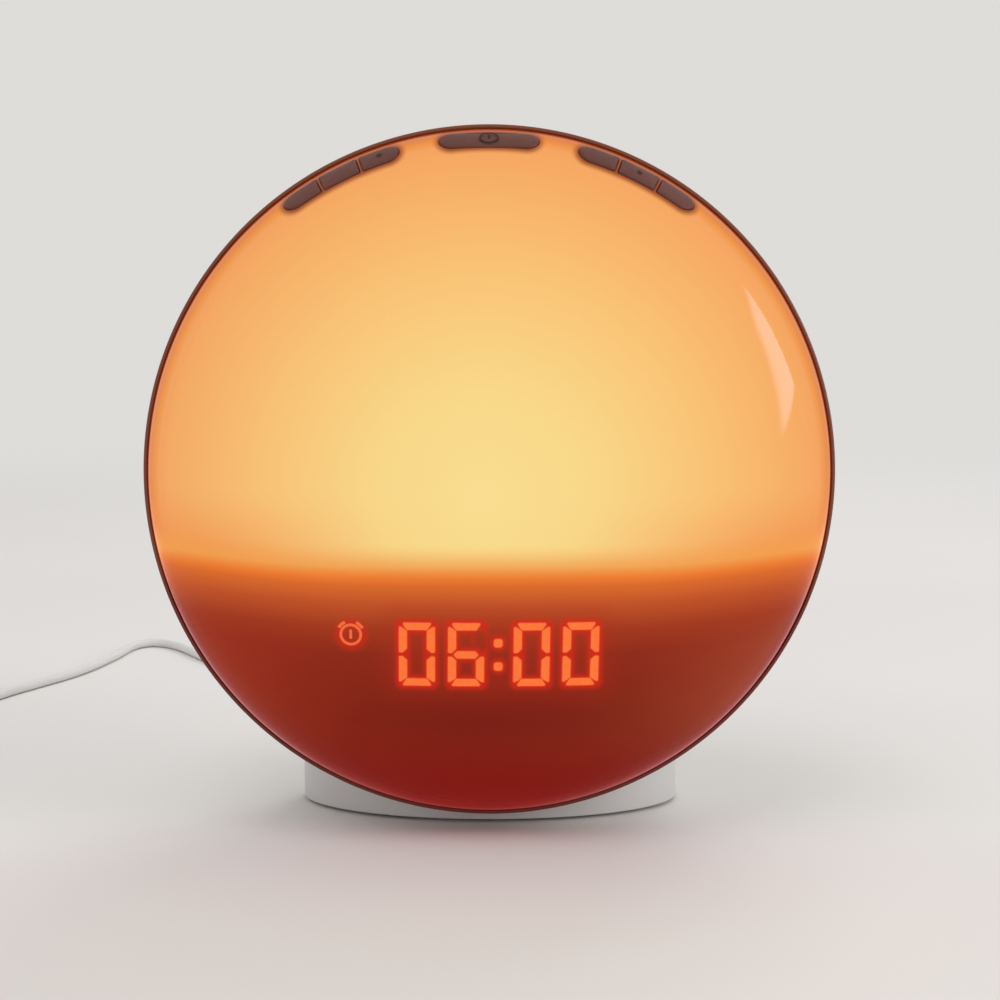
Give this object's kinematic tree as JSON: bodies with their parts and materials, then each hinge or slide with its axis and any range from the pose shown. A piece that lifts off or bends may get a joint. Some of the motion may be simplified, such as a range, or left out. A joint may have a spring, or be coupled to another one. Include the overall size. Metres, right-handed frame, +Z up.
{
  "type": "sunrise alarm clock",
  "caption": "Round bedside wake-up light with a glowing dome, a digital clock, press keys in the upper edge, a rear speaker and an oval base",
  "frame": {"origin": "on the table under the middle of the clock", "axes": "+Z up, the dome and its digits face -Y, +X to the right seen from the front"},
  "size_m": [0.3137, 0.298, 0.174],
  "materials": {
    "diffuser": "gloss",
    "inner_white": "matt",
    "inner_grey": "matt",
    "lamp_board": "satin",
    "lamp_led": "gloss",
    "board_green": "satin",
    "inner_black": "matt",
    "inner_cream": "matt",
    "display_glow": "gloss",
    "display_film": "gloss",
    "alarm_glow": "gloss",
    "key": "satin, lit from the edges",
    "housing": "satin white",
    "grille": "satin",
    "speaker_steel": "matt",
    "speaker_paper": "matt",
    "magnet": "matt",
    "base": "satin white",
    "base_plate": "matt",
    "steel": "brushed",
    "rubber": "matt",
    "cord": "soft matt",
    "cord_plug": "satin",
    "plug_shell": "polished"
  },
  "bodies": {
    "clock": {"front_diffuser": "diffuser", "light_baffle": "inner_white", "mid_frame": "inner_grey", "lamp_reflector": "inner_white", "lamp_board": "lamp_board", "lamp_leds": "lamp_led", "display_board": "board_green", "display_block": "inner_black", "display_segments": "display_glow", "display_film": "display_film", "alarm_light": "alarm_glow", "main_board": "board_green", "board_parts": "inner_black", "coin_cell_holder": "inner_cream", "coin_cell": "steel", "key_board_top": "board_green", "key_board_left": "board_green", "key_board_right": "board_green", "switch_cases_top": "inner_black", "switch_cases_left": "inner_black", "switch_cases_right": "inner_black", "rear_housing": "housing", "speaker_grille": "grille", "speaker_frame": "speaker_steel", "speaker_cone": "speaker_paper", "speaker_magnet": "magnet", "dc_jack": "inner_black", "housing_screws": "steel", "base_stand": "base", "base_plate": "base_plate", "stand_screws": "steel", "base_screws": "steel", "rubber_feet": "rubber", "dc_plug": "cord_plug", "cord_relief": "cord_plug", "cord_run": "cord", "cord_coil": "cord", "cord_tail": "cord", "usb_plug": "cord_plug", "usb_shell": "plug_shell"},
    "top_key": {"key_top": "key", "plunger_top": "inner_black"},
    "left_1_key": {"key_left_1": "key", "plunger_left_1": "inner_black"},
    "left_2_key": {"key_left_2": "key", "plunger_left_2": "inner_black"},
    "left_3_key": {"key_left_3": "key", "plunger_left_3": "inner_black"},
    "right_1_key": {"key_right_1": "key", "plunger_right_1": "inner_black"},
    "right_2_key": {"key_right_2": "key", "plunger_right_2": "inner_black"},
    "right_3_key": {"key_right_3": "key", "plunger_right_3": "inner_black"}
  },
  "joints": [
    {"name": "top_press", "type": "slide", "parent": "clock", "child": "top_key", "axis": [0, 0.5631, -0.8264], "range_m": [0, 0.0005], "stiffness_N_per_m": 400},
    {"name": "left_1_press", "type": "slide", "parent": "clock", "child": "left_1_key", "axis": [0.3649, 0.5631, -0.7415], "range_m": [0, 0.0005], "stiffness_N_per_m": 400},
    {"name": "left_2_press", "type": "slide", "parent": "clock", "child": "left_2_key", "axis": [0.3649, 0.5631, -0.7415], "range_m": [0, 0.0005], "stiffness_N_per_m": 400},
    {"name": "left_3_press", "type": "slide", "parent": "clock", "child": "left_3_key", "axis": [0.3649, 0.5631, -0.7415], "range_m": [0, 0.0005], "stiffness_N_per_m": 400},
    {"name": "right_1_press", "type": "slide", "parent": "clock", "child": "right_1_key", "axis": [-0.3649, 0.5631, -0.7415], "range_m": [0, 0.0005], "stiffness_N_per_m": 400},
    {"name": "right_2_press", "type": "slide", "parent": "clock", "child": "right_2_key", "axis": [-0.3649, 0.5631, -0.7415], "range_m": [0, 0.0005], "stiffness_N_per_m": 400},
    {"name": "right_3_press", "type": "slide", "parent": "clock", "child": "right_3_key", "axis": [-0.3649, 0.5631, -0.7415], "range_m": [0, 0.0005], "stiffness_N_per_m": 400}
  ]
}
